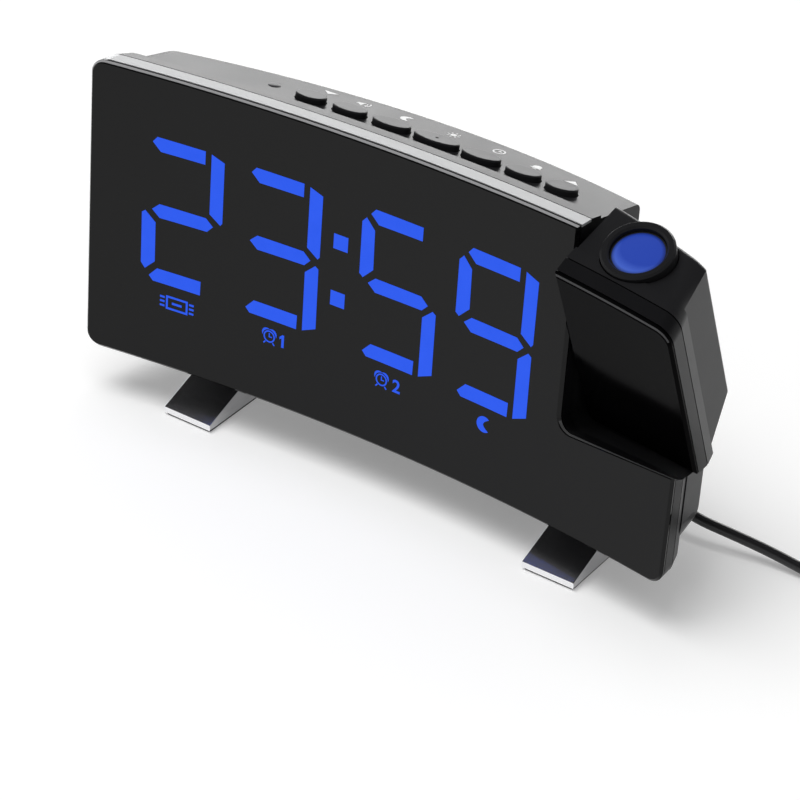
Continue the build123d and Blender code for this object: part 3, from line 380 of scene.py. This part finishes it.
def lensGlass():
    finish = Finish("blueLens")
    spot = finish.add("ShaderNodeTexCoord", result="Object")
    pale = finish.share(
        finish.distance(spot, lensLook["shadeCentre"]), lensLook["paleFrom"], lensLook["paleTo"]
    )
    rim = finish.share(finish.distance(spot, lensLook["centre"]), lensLook["rimFrom"], lensLook["rimTo"])
    speck = finish.noise(finish.where(), 260.0, 2.0)
    glow = finish.blend(pale + (speck - 0.5) * 0.1, (0.012, 0.032, 0.27), (0.05, 0.10, 0.44))
    return finish.paint({
        "Base Color": finish.blend(rim, (0.01, 0.03, 0.16), (0.004, 0.006, 0.02)),
        "Roughness": 0.04 + speck * 0.03,
        "Emission Color": finish.mix(rim, glow, (0.004, 0.008, 0.05, 1)),
        "Emission Strength": 1.0,
        "Coat Weight": 0.6,
    })


def circuitBoard():
    finish = Finish("greenBoard")
    place = finish.where()
    tracks = finish.add(
        "ShaderNodeTexVoronoi", {"distance": "MANHATTAN", "feature": "F1"}, {"Vector": place, "Scale": 420.0}
    )
    line = tracks > 0.42
    speck = finish.noise(place, 900.0)
    return finish.paint({
        "Base Color": finish.blend(line, (0.008, 0.075, 0.03), (0.03, 0.16, 0.06)),
        "Roughness": 0.35 + speck * 0.12,
        "Normal": finish.bump(line, 0.00003),
    })


def cordRubber():
    finish = Finish("cordRubber")
    place = finish.where()
    fine = finish.noise(place, 1500.0, 4.0)
    broad = finish.noise(place, 90.0)
    return finish.paint({
        "Base Color": finish.blend(broad, (0.008, 0.008, 0.009), (0.014, 0.014, 0.015)),
        "Roughness": 0.36 + (fine - 0.5) * 0.12 + (broad - 0.5) * 0.1,
        "Normal": finish.bump(fine, 0.000012),
    })


def even(level, tint=0.0):
    return (level, level, level + tint)


finishes = {
    "smoked_panel": glossPanel(
        "smokedAcrylic", (even(0.0016, 0.0002), even(0.0026, 0.0002)),
        # the lighter greys below are the painted highlight on the panel's upward-facing chamfer
        {"from": 0.00035, "to": 0.0009, "dark": even(0.24, 0.005), "light": even(0.34, 0.005)}, 0.19, 0.035,
    ),
    "front_frame": moulded(
        "glossFrame", even(0.005, 0.0005), even(0.008, 0.001), 0.3, 1800.0, 0.000004, 0.13
    ),
    "bright_strip": silverStrip(),
    "casing": moulded(
        "casingTexture", even(0.010, 0.001), even(0.014, 0.001), 0.35, 3600.0, 0.000012, 0.13
    ),
    "buttons": moulded(
        "buttonSatin", even(0.009, 0.001), even(0.014, 0.001), 0.36, 4200.0, 0.000008, 0.12
    ),
    "bright_feet": plated(),
    "rubber": moulded("padRubber", even(0.003, 0.0003), even(0.006), 0.8, 2400.0, 0.00003, 0.15),
    "screws": brushed(
        "zincScrew", even(0.36, 0.01), even(0.5, 0.01), 0.28, (1, 1, 1), 1400.0, 0.00001
    ),
    "black_inner": moulded("blackMoulding", even(0.01), even(0.016), 0.5, 1600.0, 0.00001),
    "white_inner": moulded("whiteMoulding", even(0.7, -0.02), even(0.78, -0.02), 0.5, 1200.0, 0.00001),
    "diffuser": moulded("milkyBlue", (0.02, 0.05, 0.5), (0.03, 0.07, 0.6), 0.4, 1200.0, 0.00001),
    "lamp": moulded("lampCap", (0.6, 0.58, 0.3), (0.72, 0.7, 0.4), 0.2, 2200.0, 0.00001),
    "board": circuitBoard(),
    "bright_metal": brushed(
        "nickelPlate", (0.52, 0.51, 0.49), (0.66, 0.65, 0.62), 0.14, (1, 0.1, 1), 1800.0, 0.000006
    ),
    "lens": lensGlass(),
    "cord": cordRubber(),
}
# the projector's plate: the same acrylic, with a fainter painted highlight on its upward-facing chamfer
headPanel = glossPanel(
    "headAcrylic", ((0.0010, 0.0010, 0.0011), (0.0018, 0.0018, 0.0020)),
    {"from": 0.0003, "to": 0.0007, "dark": even(0.06, 0.002), "light": even(0.09, 0.002)}, 0.014, 0.12,
    headTurn,
)
whitePrint = moulded("whitePrint", even(0.74), even(0.86), 0.55, 2600.0, 0.000004)
sensorGlass = moulded("sensorGlass", even(0.02, 0.002), even(0.035, 0.003), 0.34, 900.0, 0.000004, 0.1)
litBlue = litPlastic()
for row in frame["record"]["subparts"]:
    for place in nodes[row["node"]].material_slots:
        place.material = finishes[row["material_slot"]]
for place in nodes["projector_plate"].material_slots:
    place.material = headPanel
print("finishes made")


def finished(piece, slotName, body, material=None):
    piece.data.materials.clear()
    piece.data.materials.append(material or finishes[slotName])
    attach(piece, body)
    return piece


finished(supplyCord, "cord", "clock")
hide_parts("cord_tube", "cord_coil")
tuple(v / 1000 for v in cordPoints[0])


def pickOnly(*pieces):
    bpy.ops.object.select_all(action="DESELECT")
    for piece in pieces:
        piece.select_set(True)
    bpy.context.view_layer.objects.active = pieces[0]


# a thin plate cut to outlines in millimetres, sliced every few millimetres so that it can bend
def cutPlate(name, outlines, thickness, slices):
    curve = bpy.data.curves.new(name, "CURVE")
    curve.dimensions = "2D"
    curve.fill_mode = "BOTH"
    curve.extrude = thickness / 2
    for outline in outlines:
        path = curve.splines.new("POLY")
        path.points.add(len(outline) - 1)
        path.use_cyclic_u = True
        for point, (x, y) in zip(path.points, outline):
            point.co = (x / 1000, y / 1000, 0, 1)
    plate = bpy.data.objects.new(name, curve)
    bpy.context.scene.collection.objects.link(plate)
    pickOnly(plate)
    bpy.ops.object.convert(target="MESH")
    plate = bpy.context.object
    bpy.ops.object.mode_set(mode="EDIT")
    bpy.ops.mesh.select_all(action="SELECT")
    bpy.ops.mesh.remove_doubles(threshold=0.000001)
    for x in slices:
        bpy.ops.mesh.select_all(action="SELECT")
        bpy.ops.mesh.bisect(plane_co=(x / 1000, 0, 0), plane_no=(1, 0, 0))
    bpy.ops.mesh.select_all(action="SELECT")
    bpy.ops.mesh.normals_make_consistent(inside=False)
    bpy.ops.object.mode_set(mode="OBJECT")
    return plate


def wrap(plate, mapping):
    for vertex in plate.data.vertices:
        vertex.co = mapping(*vertex.co)
    plate.data.update()
    return plate


# lit digits on the front
segments = {
    "top": [(-25.8, 47.9), (-24.2, 49.8), (-6.9, 49.8), (-6.9, 45.3), (-22.8, 45.1)],
    "upperRight": [(-4.7, 49.4), (0, 47.7), (0, 27.2), (-0.7, 26.3), (-4.7, 29.1)],
    "middle": [(-25.4, 24.9), (-22.8, 27.2), (-5.9, 27.3), (-3.3, 25.0), (-5.4, 22.8), (-22.6, 22.5)],
    "lowerLeft": [(-29, 22.9), (-27.8, 23.8), (-24, 20.5), (-23.9, 6.9), (-27.4, 3.6), (-28.9, 5.4)],
    "bottom": [(-25.9, 1.6), (-23, 4.7), (-7, 4.8), (-7.1, 0), (-24.4, 0)],
    "upperLeft": [(-28.8, 44.5), (-27.3, 46.2), (-24.1, 42.8), (-23.8, 29.7), (-27.4, 26.1), (-28.7, 27.1)],
    "lowerRight": [(-5, 20.6), (-1.4, 23.8), (-0.2, 23), (0, 2.5), (-4.9, 0.4)],
}
digits = {
    "base": 28.8,
    "shown": [
        (-60.4, ("top", "upperRight", "middle", "lowerLeft", "bottom")),
        (-24.8, ("top", "upperRight", "middle", "lowerRight", "bottom")),
        (18.5, ("top", "upperLeft", "middle", "lowerRight", "bottom")),
        (54.0, ("top", "upperLeft", "upperRight", "middle", "lowerRight", "bottom")),
    ],
    "colon": [(-20.1, -14.9, 60.9, 65.9), (-20.1, -14.9, 41.7, 46.7)],
    "thickness": 0.00006,
    "gap": 0.00005,
}
litOutlines = []
for right, names in digits["shown"]:
    for name in names:
        litOutlines.append([(right + x, digits["base"] + y) for x, y in segments[name]])
for left, right, low, high in digits["colon"]:
    litOutlines.append([(left, low), (right, low), (right, high), (left, high)])


def onFront(x, y, z):
    return onFace(x, y, -digits["gap"] - z)


litDigits = wrap(cutPlate("litDigits", litOutlines, digits["thickness"], range(-90, 58, 3)), onFront)
finished(litDigits, "diffuser", "clock", litBlue)


def polar(x, y, radius, degrees, side=1):
    angle = math.radians(degrees)
    return (x + side * radius * math.cos(angle), y + radius * math.sin(angle))


def ringOutline(x, y, radius, count=28):
    return [polar(x, y, radius, 360 / count * i) for i in range(count)]


def bar(start, end, width):
    along = Vector(end) - Vector(start)
    side = Vector((-along.y, along.x)).normalized() * width / 2
    corners = (Vector(start) + side, Vector(start) - side, Vector(end) - side, Vector(end) + side)
    return [tuple(corner) for corner in corners]


def placed(points, x, y, size):
    return [(x + a * size, y + b * size) for a, b in points]


# the two hands of a clock, drawn as one bent bar
def hands(up, right, low, width):
    half = width / 2
    return [(-half, up), (-half, low), (right, low), (right, low + width), (half, low + width), (half, up)]


# a ringing clock: ring, hands, two legs and two bells
alarmParts = {
    "outer": 2.1, "inner": 1.62, "hands": (1.2, 1.0, -0.25, 0.38), "leg": ((1.3, -1.9), (2.0, -2.7)),
    "legWidth": 0.45, "bellFrom": 2, "bellStep": 11.5, "bellSteps": 8, "bellRadius": 2.45, "bellHeight": 0.75,
}


def alarmSign(x, y, size):
    parts = alarmParts
    steps = parts["bellSteps"]
    outlines = [ringOutline(x, y, parts["outer"] * size), ringOutline(x, y, parts["inner"] * size)]
    outlines.append(placed(hands(*parts["hands"]), x, y, size))
    for side in (-1, 1):
        start, end = placed([(side * a, b) for a, b in parts["leg"]], x, y, size)
        outlines.append(bar(start, end, parts["legWidth"] * size))
        angles = [parts["bellFrom"] + i * parts["bellStep"] for i in range(steps + 1)]
        bell = [polar(x, y, parts["bellRadius"] * size, angle, side) for angle in angles]
        for i in range(steps - 1, 0, -1):
            reach = parts["bellRadius"] + parts["bellHeight"] * math.sin(math.pi * i / steps)
            bell.append(polar(x, y, reach * size, angles[i], side))
        outlines.append(bell)
    return outlines


crescentParts = {"from": 50, "step": 13.0, "steps": 20, "hollow": 0.75, "hollowSteps": 12}


def crescentSign(x, y, radius):
    parts = crescentParts
    outline = [polar(x, y, radius, parts["from"] + i * parts["step"]) for i in range(parts["steps"] + 1)]
    start = Vector(outline[-1])
    end = Vector(outline[0])
    away = Vector((-(end - start).y, (end - start).x)).normalized()
    depth = radius * parts["hollow"]
    for i in range(1, parts["hollowSteps"]):
        share = i / parts["hollowSteps"]
        outline.append(tuple(start.lerp(end, share) + away * depth * math.sin(math.pi * share)))
    return outline


statusSigns = {
    "chip": (-75.75, 22.75), "alarms": (-41.5, 0.4), "crescent": 39.0, "crescentRadius": 2.7, "row": 22.9,
    "one": (-36.5, 20.6), "two": (6.0, 20.6), "numeralHeight": 4.4,
}
chipParts = {
    "outer": (4, 2.4), "inner": (3.3, 1.7), "pinRows": (-1.5, 0, 1.5), "pin": (4.5, 6.2), "pinWidth": 0.7,
    "core": 1.8, "coreWidth": 0.8,
}


def chipSign(x, y):
    outlines = []
    for a, b in (chipParts["outer"], chipParts["inner"]):
        outlines.append(placed([(-a, -b), (a, -b), (a, b), (-a, b)], x, y, 1))
    near, tip = chipParts["pin"]
    for row in chipParts["pinRows"]:
        for side in (-1, 1):
            outlines.append(bar((x + side * near, y + row), (x + side * tip, y + row), chipParts["pinWidth"]))
    core = chipParts["core"]
    outlines.append(bar((x - core, y), (x + core, y), chipParts["coreWidth"]))
    return outlines


signOutlines = chipSign(*statusSigns["chip"])
for x in statusSigns["alarms"]:
    signOutlines += alarmSign(x, statusSigns["row"], 1.0)
signOutlines.append(
    crescentSign(statusSigns["crescent"], statusSigns["row"], statusSigns["crescentRadius"])
)
statusMarks = wrap(cutPlate("statusMarks", signOutlines, digits["thickness"], range(-81, 45, 3)), onFront)
finished(statusMarks, "diffuser", "clock", litBlue)


# the font's figures are this share of its size; the outline is thickened a little
numeralFont = {"figureShare": 0.729, "thickening": 0.00012}


def numeral(text, x, y, height):
    letters = bpy.data.curves.new("numeral" + text, "FONT")
    letters.body = text
    letters.size = height / numeralFont["figureShare"] / 1000
    letters.extrude = digits["thickness"] / 2
    letters.offset = numeralFont["thickening"]
    letters.align_x = "CENTER"
    piece = bpy.data.objects.new("numeral" + text, letters)
    bpy.context.scene.collection.objects.link(piece)
    pickOnly(piece)
    bpy.ops.object.convert(target="MESH")
    piece = bpy.context.object
    for vertex in piece.data.vertices:
        vertex.co.x += x / 1000
        vertex.co.y += y / 1000
    wrap(piece, onFront)
    return finished(piece, "diffuser", "clock", litBlue)


one = [(-0.45, 0), (0.45, 0), (0.45, 4.4), (-0.2, 4.4), (-1.2, 3.55), (-1.2, 2.65), (-0.45, 3.2)]
oneOutline = placed(one, *statusSigns["one"], 1)
numeralOne = wrap(cutPlate("numeral1", [oneOutline], digits["thickness"], ()), onFront)
finished(numeralOne, "diffuser", "clock", litBlue)
numeral("2", *statusSigns["two"], statusSigns["numeralHeight"])
print("display lit")

# printed signs behind the buttons, each with its place and size in millimetres
printing = {
    "thickness": 0.00003, "gap": 0.00004,
    "down": (-45.3, 29.3, 1), "speaker": (-33.1, 30.6, 0.95), "crescent": (-17.6, 30.9, 2.1),
    "sun": (-0.7, 31.2, 1.05), "clock": (15.9, 31.2, 1.1), "bell": (30.4, 30.3, 1.0), "up": (44.2, 28.1, 1),
}


def onPrintedTop(x, y, z):
    return onBackTop(x, y, printing["gap"] + z)


bellParts = {
    "dome": [polar(0, 0, 1.5, 12 * i) for i in range(16)],
    "skirt": [(-1.5, -0.6), (-2.0, -1.2), (2.0, -1.2), (1.5, -0.6)],
    "foot": [(-0.7, -1.75), (0.7, -1.75)],
    "footWidth": 0.5,
}


def bellSign(x, y, size):
    start, end = placed(bellParts["foot"], x, y, size)
    outline = placed(bellParts["dome"] + bellParts["skirt"], x, y, size)
    return [outline, bar(start, end, bellParts["footWidth"] * size)]


speakerParts = {
    "horn": [(-2.4, -0.7), (-1.3, -0.7), (-0.1, -1.7), (-0.1, 1.7), (-1.3, 0.7), (-2.4, 0.7)],
    "waves": (1.0, 2.0), "waveWidth": 0.45, "waveAngles": range(-48, 49, 12),
}


def speakerSign(x, y, size):
    outlines = [placed(speakerParts["horn"], x, y, size)]
    for reach in speakerParts["waves"]:
        wide = reach + speakerParts["waveWidth"]
        inner = [polar(x, y, reach * size, angle) for angle in speakerParts["waveAngles"]]
        outer = [polar(x, y, wide * size, angle) for angle in speakerParts["waveAngles"]]
        outlines.append(inner + outer[::-1])
    return outlines


sunParts = {"disc": 0.95, "discSides": 20, "rays": 8, "rayFrom": 1.35, "rayTo": 2.1, "rayWidth": 0.4}


def sunSign(x, y, size):
    outlines = [ringOutline(x, y, sunParts["disc"] * size, sunParts["discSides"])]
    for i in range(sunParts["rays"]):
        angle = 360 / sunParts["rays"] * i
        start = polar(x, y, sunParts["rayFrom"] * size, angle)
        end = polar(x, y, sunParts["rayTo"] * size, angle)
        outlines.append(bar(start, end, sunParts["rayWidth"] * size))
    return outlines


clockParts = {"outer": 1.9, "inner": 1.4, "hands": (1.1, 0.9, -0.2, 0.4)}


def clockSign(x, y, size):
    return [
        ringOutline(x, y, clockParts["outer"] * size),
        ringOutline(x, y, clockParts["inner"] * size),
        placed(hands(*clockParts["hands"]), x, y, size),
    ]


topSigns = [placed([(-2.5, 2.4), (0, 0), (2.5, 2.4)], *printing["down"])]
topSigns += speakerSign(*printing["speaker"])
topSigns += [crescentSign(*printing["crescent"])]
topSigns += sunSign(*printing["sun"])
topSigns += clockSign(*printing["clock"])
topSigns += bellSign(*printing["bell"])
topSigns += [placed([(-2.5, 0), (0, 2.4), (2.5, 0)], *printing["up"])]
buttonSigns = wrap(cutPlate("buttonSigns", topSigns, printing["thickness"], range(-51, 48, 3)), onPrintedTop)
finished(buttonSigns, "buttons", "clock", whitePrint)
print("signs printed")

# the sensor's window in the top and the raised mark on the middle button
smallRounds = {
    "sensorWindow": {
        "place": (-0.0593, 0.0219, -0.00005), "radius": 0.00195, "depth": 0.0004, "rise": 0.00022,
    },
    "snoozeMark": {
        "place": (0.0009, 0.0194, 0.00195), "radius": 0.00055, "depth": 0.00008, "rise": 0.0001,
    },
}
# the dome rises in rings of equal width, each by a share of its whole rise
domeMaking = {"sides": 40, "ringWidth": 0.2, "rises": (0.5, 0.3, 0.15, 0.05), "smooth": 35, "step": 0.001}


def domedRound(name, sizes):
    bpy.ops.mesh.primitive_cylinder_add(
        vertices=domeMaking["sides"], radius=sizes["radius"], depth=sizes["depth"]
    )
    piece = bpy.context.object
    piece.name = name
    top = max(piece.data.polygons, key=lambda face: face.center.z).index
    bpy.ops.object.mode_set(mode="EDIT")
    bpy.ops.mesh.select_all(action="DESELECT")
    bpy.ops.object.mode_set(mode="OBJECT")
    piece.data.polygons[top].select = True
    bpy.ops.object.mode_set(mode="EDIT")
    bpy.ops.mesh.select_mode(type="FACE")
    for share in domeMaking["rises"]:
        bpy.ops.mesh.inset(thickness=sizes["radius"] * domeMaking["ringWidth"], depth=sizes["rise"] * share)
    bpy.ops.object.mode_set(mode="OBJECT")
    u, back, height = sizes["place"]
    spot = onBackTop(u, back, height)
    step = domeMaking["step"]
    across = (onBackTop(u + step, back, height) - onBackTop(u - step, back, height)).normalized()
    upward = (onBackTop(u, back, height + step) - spot).normalized()
    turn = Matrix((across, upward.cross(across), upward)).transposed()
    for vertex in piece.data.vertices:
        vertex.co = spot + turn @ vertex.co
    piece.data.update()
    pickOnly(piece)
    bpy.ops.object.shade_smooth_by_angle(angle=math.radians(domeMaking["smooth"]))
    return piece


finished(domedRound("sensorWindow", smallRounds["sensorWindow"]), "black_inner", "clock", sensorGlass)
finished(domedRound("snoozeMark", smallRounds["snoozeMark"]), "buttons", "snooze_button")
print("small rounds placed")

# floor, world and lamps
studioLight = {
    "floorSize": 8, "floorRoughness": 0.9, "floorGlow": 0.19, "horizon": 0.12, "zenith": 0.62,
    "low": (0.95, 0.95, 0.95, 1), "high": (0.10, 0.10, 0.105, 1), "fill": (0.38, 0.38, 0.38, 1),
}
bpy.ops.mesh.primitive_plane_add(size=studioLight["floorSize"])
floor = bpy.context.object
floor.name = "floor"
floorFinish = Finish("paleFloor")
watched = floorFinish.add("ShaderNodeLightPath", result="Is Camera Ray") + floorFinish.add(
    "ShaderNodeLightPath", result="Is Glossy Ray"
)
grain = floorFinish.noise(floorFinish.where(), 3.0)
floorFinish.paint({
    "Base Color": floorFinish.blend(grain, even(0.86), even(0.88)),
    "Roughness": studioLight["floorRoughness"],
    "Specular IOR Level": 0.0,
    "Emission Color": floorFinish.blend(watched, even(0.0), even(1.0)),
    "Emission Strength": studioLight["floorGlow"],
})
floor.data.materials.append(floorFinish.material)

# what is seen or mirrored gets a sky that is pale low down; the rest of the light is an even fill
studio = bpy.data.worlds.new("studio")
bpy.context.scene.world = studio
sky = Finish("studio", studio)
height = sky.separate(sky.add("ShaderNodeTexCoord", result="Generated"), "Z")
shade = sky.mix(
    sky.share(height, studioLight["horizon"], studioLight["zenith"]), studioLight["low"], studioLight["high"]
)
watched = (
    sky.add("ShaderNodeLightPath", result="Is Camera Ray")
    + sky.add("ShaderNodeLightPath", result="Is Glossy Ray")
    + sky.add("ShaderNodeLightPath", result="Is Transmission Ray")
)
fill = sky.add("ShaderNodeBackground", {}, {"Color": studioLight["fill"]})
gradient = sky.add("ShaderNodeBackground", {}, {"Color": shade})
light = sky.add("ShaderNodeMixShader", {}, {0: watched, 1: fill, 2: gradient})
sky.add("ShaderNodeOutputWorld", {}, {"Surface": light})

lamps = {
    "backBox": {"spot": (-0.80, 1.45, 0.32), "size": (1.9, 0.48), "radiance": 5.0, "mirrored": True},
    "topBox": {"spot": (-0.45, -0.30, 2.10), "size": (1.5, 1.5), "radiance": 4.8, "mirrored": False},
}
lampTarget = Vector((0, 0, 0.05))
for name, lamp in lamps.items():
    light = bpy.data.lights.new(name, "AREA")
    light.shape = "RECTANGLE"
    light.size, light.size_y = lamp["size"]
    light.energy = lamp["radiance"] * math.pi * lamp["size"][0] * lamp["size"][1]
    holder = bpy.data.objects.new(name, light)
    bpy.context.scene.collection.objects.link(holder)
    aim = (lampTarget - Vector(lamp["spot"])).to_track_quat("-Z", "Y").to_matrix().to_4x4()
    holder.matrix_world = Matrix.Translation(lamp["spot"]) @ aim
    holder.visible_glossy = lamp["mirrored"]
    holder.visible_diffuse = not lamp["mirrored"]
bpy.context.scene.view_settings.view_transform = "Standard"
print("studio lit")
